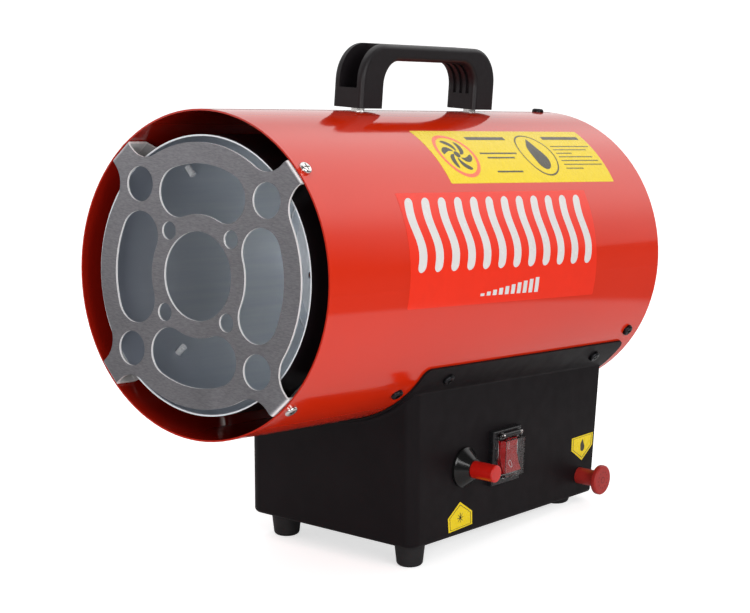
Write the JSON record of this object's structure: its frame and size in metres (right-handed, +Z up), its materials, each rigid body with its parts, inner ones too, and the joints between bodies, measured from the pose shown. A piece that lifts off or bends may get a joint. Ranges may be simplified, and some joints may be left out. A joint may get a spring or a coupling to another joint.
{
  "type": "portable propane heater",
  "caption": "Portable forced-air propane heater: red steel tube with handle and stamped outlet plate on a black base with push igniter, rocker switch and gas valve knob.",
  "frame": {"origin": "on the floor, at the centre of the footprint's bounding box, under the middle of the tube", "axes": "+Z up, +Y to the rear (air inlet), so hot air leaves towards -Y; +X is the side with the controls"},
  "size_m": [0.19, 0.3703, 0.3185],
  "materials": {
    "casing_red": "glossy red paint",
    "base_black": "fine-textured matte black powder coat",
    "plate_steel": "brushed stainless steel",
    "chamber_steel": "smooth aluminised steel",
    "burner_steel": "plain stainless steel",
    "sheet_zinc": "zinc-plated sheet steel",
    "screw_zinc": "zinc-plated",
    "screw_black": "black oxide",
    "spring_steel": "bright spring steel",
    "brass": "machined",
    "copper": "drawn copper",
    "ceramic": "glazed white ceramic",
    "rubber_black": "matte black rubber",
    "igniter_black": "glossy black plastic",
    "button_red": "glossy red plastic",
    "valve_red": "satin red plastic",
    "rocker_red": "glossy translucent red plastic",
    "switch_black": "black plastic",
    "cover_clear": "clear plastic",
    "handle_black": "satin black plastic with a fine grain",
    "gland_black": "black nylon",
    "terminal_white": "white nylon",
    "guard_black": "black-coated wire",
    "laminations": "stacked electrical steel",
    "coil_tape": "yellow insulating tape",
    "fan_aluminium": "plain aluminium"
  },
  "bodies": {
    "heater": {"outer_casing": "casing_red", "front_grille": "plate_steel", "grille_screws": "screw_zinc", "combustion_chamber": "chamber_steel", "chamber_screws": "screw_zinc", "chamber_supports": "screw_zinc", "casing_screws": "screw_black", "burner_plate": "chamber_steel", "burner_cup": "burner_steel", "mixing_tube": "burner_steel", "burner_bolts": "screw_zinc", "jet_bracket": "sheet_zinc", "jet_holder": "brass", "gas_jet": "brass", "electrode_insulator": "ceramic", "ignition_electrode": "burner_steel", "thermocouple": "copper", "overheat_thermostat": "sheet_zinc", "valve_body": "brass", "valve_bonnet": "brass", "valve_spring": "spring_steel", "magnet_unit": "brass", "gas_inlet": "brass", "inlet_nut": "brass", "gas_pipe": "copper", "pipe_nuts": "brass", "base_shell": "base_black", "base_floor": "sheet_zinc", "rear_panel": "base_black", "front_feet": "rubber_black", "rear_feet": "rubber_black", "foot_screws": "screw_zinc", "igniter_body": "igniter_black", "piezo_unit": "terminal_white", "igniter_spring": "spring_steel", "igniter_nut": "igniter_black", "switch_body": "switch_black", "switch_pins": "screw_zinc", "switch_blades": "screw_zinc", "rear_guard": "guard_black", "motor_bracket": "sheet_zinc", "motor_stator": "laminations", "motor_coil": "coil_tape", "motor_end_brackets": "sheet_zinc", "motor_bolts": "screw_zinc", "handle": "handle_black", "handle_spacers": "screw_zinc", "handle_screws": "screw_zinc", "cable_gland": "gland_black", "gland_nut": "gland_black", "terminal_block": "terminal_white"},
    "fan": {"fan_impeller": "fan_aluminium", "fan_nut": "screw_zinc", "motor_shaft": "spring_steel", "motor_rotor": "laminations"},
    "igniter_push": {"igniter_button": "button_red"},
    "valve_push": {"valve_knob": "valve_red"},
    "rocker": {"switch_rocker": "rocker_red"},
    "cover": {"switch_cover": "cover_clear"}
  },
  "joints": [
    {"name": "fan_spin", "type": "hinge", "parent": "heater", "child": "fan", "pos_m": [0, 0.10001, 0.16959], "axis": [0, 0.9946, -0.1035], "continuous": true},
    {"name": "igniter_press", "type": "slide", "parent": "heater", "child": "igniter_push", "axis": [-1, 0, 0], "range_m": [0, 0.007], "stiffness_N_per_m": 900, "springref_m": -0.003, "deforming": ["igniter_spring"]},
    {"name": "valve_press", "type": "slide", "parent": "heater", "child": "valve_push", "axis": [-1, 0, 0], "range_m": [0, 0.006], "stiffness_N_per_m": 900, "springref_m": -0.003, "deforming": ["valve_spring"]},
    {"name": "rocker_tip", "type": "hinge", "parent": "heater", "child": "rocker", "pos_m": [0.0675, 0.0356, 0.0559], "axis": [0, 0.9983, -0.0584], "range_deg": [0, 18]},
    {"name": "cover_flip", "type": "hinge", "parent": "heater", "child": "cover", "pos_m": [0.0718, 0.03646, 0.07067], "axis": [0, -0.9983, 0.0584], "range_deg": [0, 110]}
  ]
}
